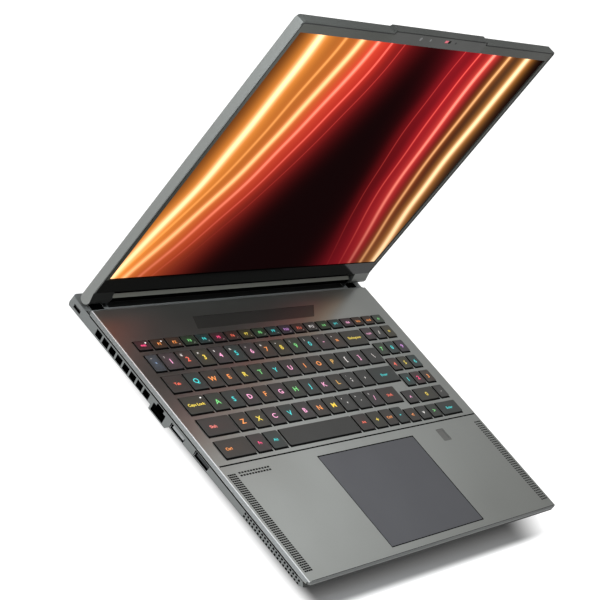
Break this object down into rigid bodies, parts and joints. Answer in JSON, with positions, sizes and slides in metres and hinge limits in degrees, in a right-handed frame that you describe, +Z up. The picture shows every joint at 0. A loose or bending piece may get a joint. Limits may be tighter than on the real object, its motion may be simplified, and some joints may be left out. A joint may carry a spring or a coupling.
{
  "type": "laptop computer",
  "caption": "Open clamshell laptop computer with a tilting lid and screen, full keyboard with number pad, touchpad, cooling fans and side sockets on rubber feet.",
  "frame": {"origin": "centre of the base footprint, on the plane the feet stand on", "axes": "+X to the right as the user sits, +Y to the rear, +Z up"},
  "size_m": [0.356, 0.2542, 0.2661],
  "materials": {
    "case_aluminium": "satin",
    "cover_aluminium": "satin",
    "lid_aluminium": "satin",
    "dark_mesh": "matt",
    "black_plastic": "matt",
    "bezel_plastic": "matt",
    "key_plastic": "matt",
    "screen_glass": "gloss",
    "rubber": "matt",
    "dark_steel": "satin",
    "socket_steel": "satin",
    "screw_steel": "blackened",
    "board_laminate": "satin",
    "battery_wrap": "satin",
    "copper": "satin",
    "fin_aluminium": "bare",
    "fan_plastic": "matt",
    "speaker_plastic": "matt",
    "touch_glass": "satin",
    "shutter_red": "gloss"
  },
  "bodies": {
    "base": {"top_case": "case_aluminium", "deck_inlay": "dark_mesh", "bottom_cover": "cover_aluminium", "rear_trim": "black_plastic", "rubber_feet": "rubber", "bottom_screws": "screw_steel", "motherboard": "board_laminate", "battery": "battery_wrap", "cold_plate": "copper", "heat_pipes": "copper", "fin_stacks": "fin_aluminium", "fan_housing_left": "fan_plastic", "fan_housing_right": "fan_plastic", "memory_modules": "board_laminate", "solid_state_drive": "board_laminate", "wireless_card": "board_laminate", "speaker_left": "speaker_plastic", "speaker_right": "speaker_plastic", "keyboard_plate": "dark_steel", "fingerprint_reader": "key_plastic", "hinge_bracket_left": "dark_steel", "hinge_bracket_right": "dark_steel", "network_port": "black_plastic", "usb_port_left_rear": "socket_steel", "usb_port_left_front": "dark_steel", "ports_right": "socket_steel", "ports_rear": "socket_steel"},
    "lid": {"lid_cover": "lid_aluminium", "lid_gasket": "rubber", "screen_bezel": "bezel_plastic", "chin_trim": "black_plastic", "display_panel": "screen_glass", "hinge_bar": "case_aluminium", "webcam_module": "black_plastic"},
    "shutter": {"camera_shutter": "shutter_red"},
    "left_fan": {"fan_rotor_left": "fan_plastic"},
    "right_fan": {"fan_rotor_right": "fan_plastic"},
    "touch_surface": {"touchpad": "touch_glass"},
    "function_row": {"keys_function": "key_plastic"},
    "power_key": {"key_power": "key_plastic"},
    "number_row": {"keys_number": "key_plastic"},
    "backspace": {"key_backspace": "key_plastic"},
    "tab_key": {"key_tab": "key_plastic"},
    "upper_letter_row": {"keys_upper": "key_plastic"},
    "caps_lock": {"key_caps_lock": "key_plastic"},
    "home_letter_row": {"keys_home": "key_plastic"},
    "enter_key": {"key_enter": "key_plastic"},
    "left_shift": {"key_shift_left": "key_plastic"},
    "lower_letter_row": {"keys_lower": "key_plastic"},
    "right_shift": {"key_shift_right": "key_plastic"},
    "left_modifiers": {"keys_modifier_left": "key_plastic"},
    "right_modifiers": {"keys_modifier_right": "key_plastic"},
    "space_bar": {"key_space": "key_plastic"},
    "arrow_left": {"key_arrow_left": "key_plastic"},
    "arrow_down": {"key_arrow_down": "key_plastic"},
    "arrow_right": {"key_arrow_right": "key_plastic"},
    "arrow_up": {"key_arrow_up": "key_plastic"},
    "number_pad": {"keys_numpad": "key_plastic"},
    "pad_zero": {"key_numpad_zero": "key_plastic"},
    "pad_enter": {"key_numpad_enter": "key_plastic"}
  },
  "joints": [
    {"name": "lid_hinge", "type": "hinge", "parent": "base", "child": "lid", "pos_m": [0, 0.1168, 0.0204], "axis": [1, 0, 0], "range_deg": [-45, 90]},
    {"name": "shutter_slide", "type": "slide", "parent": "lid", "child": "shutter", "axis": [1, 0, 0], "range_m": [0, 0.0034]},
    {"name": "left_fan_spin", "type": "hinge", "parent": "base", "child": "left_fan", "pos_m": [-0.124, 0.0655, 0.0075], "axis": [0, 0, 1], "continuous": true},
    {"name": "right_fan_spin", "type": "hinge", "parent": "base", "child": "right_fan", "pos_m": [0.124, 0.0655, 0.0075], "axis": [0, 0, 1], "continuous": true},
    {"name": "touchpad_click", "type": "slide", "parent": "base", "child": "touch_surface", "axis": [0, 0, -1], "range_m": [0, 0.0003], "stiffness_N_per_m": 4000, "springref_m": -0.0003},
    {"name": "function_row_press", "type": "slide", "parent": "base", "child": "function_row", "axis": [0, 0, -1], "range_m": [0, 0.0014], "stiffness_N_per_m": 400, "springref_m": -0.0005},
    {"name": "power_key_press", "type": "slide", "parent": "base", "child": "power_key", "axis": [0, 0, -1], "range_m": [0, 0.0014], "stiffness_N_per_m": 400, "springref_m": -0.0005},
    {"name": "number_row_press", "type": "slide", "parent": "base", "child": "number_row", "axis": [0, 0, -1], "range_m": [0, 0.0014], "stiffness_N_per_m": 400, "springref_m": -0.0005},
    {"name": "backspace_press", "type": "slide", "parent": "base", "child": "backspace", "axis": [0, 0, -1], "range_m": [0, 0.0014], "stiffness_N_per_m": 400, "springref_m": -0.0005},
    {"name": "tab_key_press", "type": "slide", "parent": "base", "child": "tab_key", "axis": [0, 0, -1], "range_m": [0, 0.0014], "stiffness_N_per_m": 400, "springref_m": -0.0005},
    {"name": "upper_letter_row_press", "type": "slide", "parent": "base", "child": "upper_letter_row", "axis": [0, 0, -1], "range_m": [0, 0.0014], "stiffness_N_per_m": 400, "springref_m": -0.0005},
    {"name": "caps_lock_press", "type": "slide", "parent": "base", "child": "caps_lock", "axis": [0, 0, -1], "range_m": [0, 0.0014], "stiffness_N_per_m": 400, "springref_m": -0.0005},
    {"name": "home_letter_row_press", "type": "slide", "parent": "base", "child": "home_letter_row", "axis": [0, 0, -1], "range_m": [0, 0.0014], "stiffness_N_per_m": 400, "springref_m": -0.0005},
    {"name": "enter_key_press", "type": "slide", "parent": "base", "child": "enter_key", "axis": [0, 0, -1], "range_m": [0, 0.0014], "stiffness_N_per_m": 400, "springref_m": -0.0005},
    {"name": "left_shift_press", "type": "slide", "parent": "base", "child": "left_shift", "axis": [0, 0, -1], "range_m": [0, 0.0014], "stiffness_N_per_m": 400, "springref_m": -0.0005},
    {"name": "lower_letter_row_press", "type": "slide", "parent": "base", "child": "lower_letter_row", "axis": [0, 0, -1], "range_m": [0, 0.0014], "stiffness_N_per_m": 400, "springref_m": -0.0005},
    {"name": "right_shift_press", "type": "slide", "parent": "base", "child": "right_shift", "axis": [0, 0, -1], "range_m": [0, 0.0014], "stiffness_N_per_m": 400, "springref_m": -0.0005},
    {"name": "left_modifiers_press", "type": "slide", "parent": "base", "child": "left_modifiers", "axis": [0, 0, -1], "range_m": [0, 0.0014], "stiffness_N_per_m": 400, "springref_m": -0.0005},
    {"name": "right_modifiers_press", "type": "slide", "parent": "base", "child": "right_modifiers", "axis": [0, 0, -1], "range_m": [0, 0.0014], "stiffness_N_per_m": 400, "springref_m": -0.0005},
    {"name": "space_bar_press", "type": "slide", "parent": "base", "child": "space_bar", "axis": [0, 0, -1], "range_m": [0, 0.0014], "stiffness_N_per_m": 400, "springref_m": -0.0005},
    {"name": "arrow_left_press", "type": "slide", "parent": "base", "child": "arrow_left", "axis": [0, 0, -1], "range_m": [0, 0.0014], "stiffness_N_per_m": 400, "springref_m": -0.0005},
    {"name": "arrow_down_press", "type": "slide", "parent": "base", "child": "arrow_down", "axis": [0, 0, -1], "range_m": [0, 0.0014], "stiffness_N_per_m": 400, "springref_m": -0.0005},
    {"name": "arrow_right_press", "type": "slide", "parent": "base", "child": "arrow_right", "axis": [0, 0, -1], "range_m": [0, 0.0014], "stiffness_N_per_m": 400, "springref_m": -0.0005},
    {"name": "arrow_up_press", "type": "slide", "parent": "base", "child": "arrow_up", "axis": [0, 0, -1], "range_m": [0, 0.0014], "stiffness_N_per_m": 400, "springref_m": -0.0005},
    {"name": "number_pad_press", "type": "slide", "parent": "base", "child": "number_pad", "axis": [0, 0, -1], "range_m": [0, 0.0014], "stiffness_N_per_m": 400, "springref_m": -0.0005},
    {"name": "pad_zero_press", "type": "slide", "parent": "base", "child": "pad_zero", "axis": [0, 0, -1], "range_m": [0, 0.0014], "stiffness_N_per_m": 400, "springref_m": -0.0005},
    {"name": "pad_enter_press", "type": "slide", "parent": "base", "child": "pad_enter", "axis": [0, 0, -1], "range_m": [0, 0.0014], "stiffness_N_per_m": 400, "springref_m": -0.0005}
  ]
}
